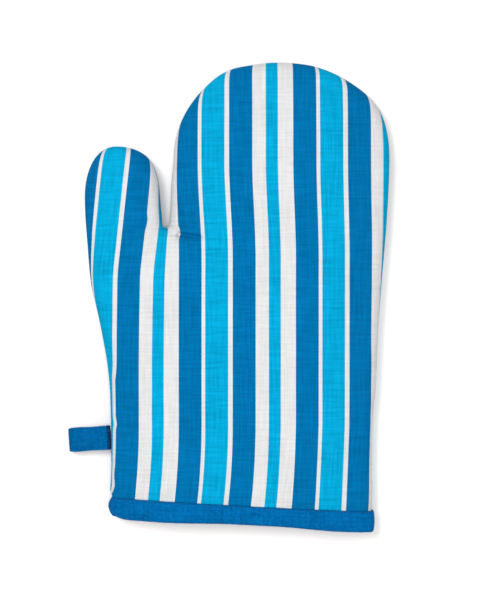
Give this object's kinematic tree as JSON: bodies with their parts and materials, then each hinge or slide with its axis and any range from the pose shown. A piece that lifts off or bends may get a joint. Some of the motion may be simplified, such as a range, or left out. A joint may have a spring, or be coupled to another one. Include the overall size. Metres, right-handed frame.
{
  "type": "oven mitt",
  "caption": "Padded striped cotton oven mitt with a thumb, a bound cuff and a hanging loop in its side seam, lying flat on its back.",
  "frame": {"origin": "centre of the mitt's footprint, hanging loop included, on the surface that its back rests on", "axes": "+Y towards the fingertips, +X away from the thumb, +Z out of the front panel"},
  "size_m": [0.1913, 0.2797, 0.028],
  "materials": {
    "striped_cotton": "plain-woven cotton with printed stripes in blue, cyan and white",
    "cotton_wadding": "lofty off-white cotton batting",
    "white_lining": "plain-woven natural white cotton",
    "blue_binding": "plain-woven blue cotton, folded and pressed",
    "blue_tape": "plain-woven blue cotton tape, folded",
    "blue_thread": "spun polyester sewing thread",
    "navy_thread": "dense navy zigzag stitching"
  },
  "bodies": {
    "palm": {"front_shell_palm": "striped_cotton", "front_wadding_palm": "cotton_wadding", "front_lining_palm": "white_lining", "back_shell_palm": "striped_cotton", "back_wadding_palm": "cotton_wadding", "back_lining_palm": "white_lining", "cuff_binding": "blue_binding", "binding_thread_outer": "blue_thread", "binding_thread_inner": "blue_thread", "seam_thread_right": "blue_thread", "seam_thread_crotch": "blue_thread", "seam_thread_left": "blue_thread", "loop_tail": "blue_tape", "loop_tack": "navy_thread"},
    "thumb": {"front_shell_thumb": "striped_cotton", "front_wadding_thumb": "cotton_wadding", "front_lining_thumb": "white_lining", "back_shell_thumb": "striped_cotton", "back_wadding_thumb": "cotton_wadding", "back_lining_thumb": "white_lining", "seam_thread_thumb": "blue_thread"},
    "fingers": {"front_shell_fingers": "striped_cotton", "front_wadding_fingers": "cotton_wadding", "front_lining_fingers": "white_lining", "back_shell_fingers": "striped_cotton", "back_wadding_fingers": "cotton_wadding", "back_lining_fingers": "white_lining", "seam_thread_fingers": "blue_thread"},
    "loop": {"hanging_loop": "blue_tape"}
  },
  "joints": [
    {"name": "finger_fold", "type": "hinge", "parent": "palm", "child": "fingers", "pos_m": [0.0304, 0.062, 0.028], "axis": [1, 0, 0], "range_deg": [0, 70]},
    {"name": "thumb_fold", "type": "hinge", "parent": "palm", "child": "thumb", "pos_m": [-0.0558, -0.0098, 0.028], "axis": [0.3284, 0.9445, 0], "range_deg": [0, 60]},
    {"name": "loop_swing", "type": "hinge", "parent": "palm", "child": "loop", "pos_m": [-0.0736, -0.084, 0.01], "axis": [-0.0611, 0.9981, 0], "range_deg": [-60, 95]}
  ]
}
